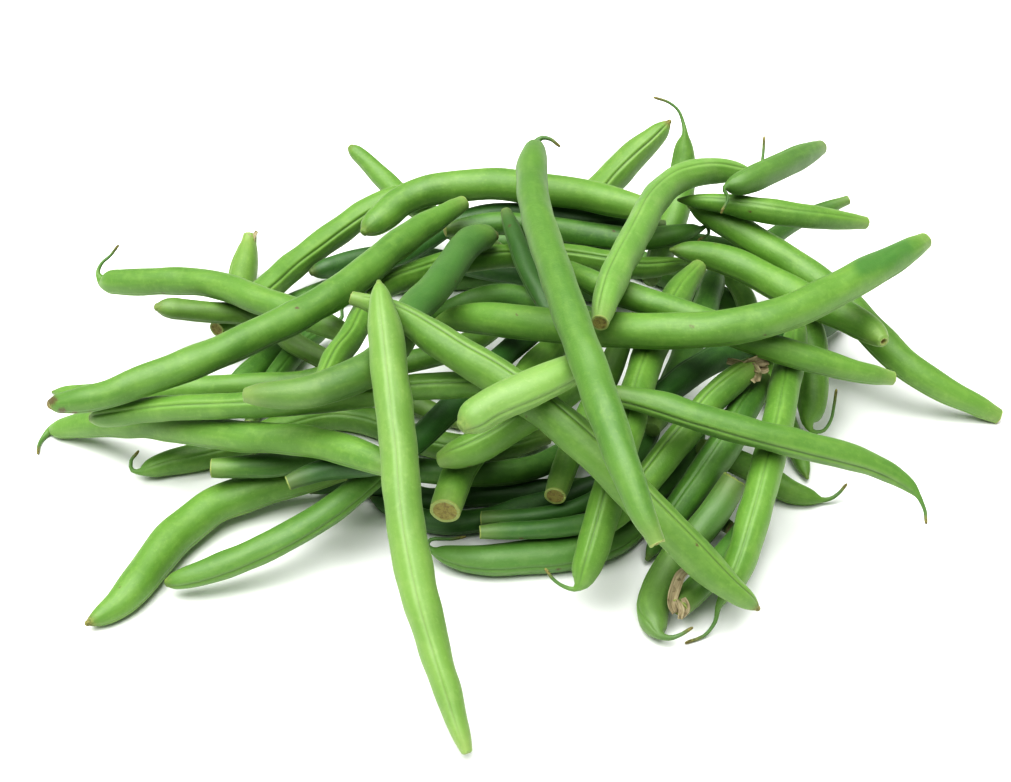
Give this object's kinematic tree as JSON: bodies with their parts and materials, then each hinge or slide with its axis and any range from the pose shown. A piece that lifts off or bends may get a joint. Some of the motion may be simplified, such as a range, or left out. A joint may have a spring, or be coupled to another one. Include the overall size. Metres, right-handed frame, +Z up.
{
  "type": "green bean bundle",
  "caption": "Loose low heap of fresh green bean pods lying across each other, some with cut stem ends, others with dried curled tails; it rests on a flat surface.",
  "frame": {"origin": "on the surface the heap rests on, under the middle of its bounding box", "axes": "+X along the heap's longest side, to the right as the front is seen; +Y to the back; +Z up"},
  "size_m": [0.2694, 0.2394, 0.0701],
  "materials": {
    "pod_bright": "waxy satin skin, pale yellow green, lighter ribs along the suture",
    "pod_fresh": "waxy satin skin, mid green with faint lengthwise streaks",
    "pod_deep": "waxy satin skin, full green",
    "pod_dark": "waxy satin skin, dark green",
    "pod_bluish": "waxy satin skin, bluish dark green with fine pale speckle"
  },
  "bodies": {
    "root": {"bean_core_back_left": "pod_deep", "bean_core_back_right": "pod_deep", "bean_under_far_left": "pod_fresh", "bean_left_inner_two": "pod_deep", "bean_left_inner_one": "pod_deep", "bean_upright_left": "pod_fresh", "bean_upper_left": "pod_fresh", "bean_floor_stub_left": "pod_deep", "bean_floor_left": "pod_fresh", "bean_dark_left_middle": "pod_dark", "bean_neck_top_right": "pod_fresh", "bean_upper_right_pointed": "pod_fresh", "bean_left_under_long": "pod_fresh", "bean_front_deep_one": "pod_dark", "bean_front_deep_two": "pod_dark", "bean_floor_front_left": "pod_fresh", "bean_left_short_tip": "pod_fresh", "bean_left_stub_long": "pod_deep", "bean_floor_front_slim": "pod_fresh", "bean_floor_front_middle": "pod_bright", "bean_cut_pair_upper": "pod_deep", "bean_cut_pair_lower": "pod_deep", "bean_middle_dark_long": "pod_dark", "bean_front_cut_face": "pod_fresh", "bean_behind_right_slim": "pod_deep", "bean_right_inner_long": "pod_fresh", "bean_right_inner_round": "pod_deep", "bean_right_cross_dark": "pod_dark", "bean_right_hook": "pod_fresh", "bean_right_low_short": "pod_fresh", "bean_middle_back_upper": "pod_dark", "bean_middle_back_round": "pod_deep", "bean_middle_back_bright": "pod_fresh", "bean_behind_long": "pod_deep", "bean_dark_steep": "pod_bluish", "bean_arch_top": "pod_fresh", "bean_right_far_long": "pod_fresh", "bean_right_upper_slim": "pod_fresh", "bean_right_facing_stem": "pod_fresh", "bean_right_broad_down": "pod_deep", "bean_right_calyx": "pod_fresh", "bean_middle_cut_slim": "pod_fresh", "bean_middle_long_down": "pod_fresh", "bean_right_broken_top": "pod_deep", "bean_right_low_calyx": "pod_deep", "bean_right_front_long": "pod_fresh", "bean_right_middle_long": "pod_fresh", "bean_left_lower_long": "pod_fresh", "bean_left_middle_long": "pod_fresh", "bean_right_long_tail": "pod_fresh", "bean_long_cross_right": "pod_fresh", "bean_curved_left_middle": "pod_bluish", "bean_long_diagonal_left": "pod_fresh", "bean_cut_end_curl": "pod_fresh", "bean_diagonal_front": "pod_fresh", "bean_bright_centre": "pod_bright", "bean_bent_top_right": "pod_bright", "bean_top_right_cut": "pod_deep", "bean_upright_front": "pod_fresh", "bean_front_long": "pod_bright"}
  },
  "joints": []
}
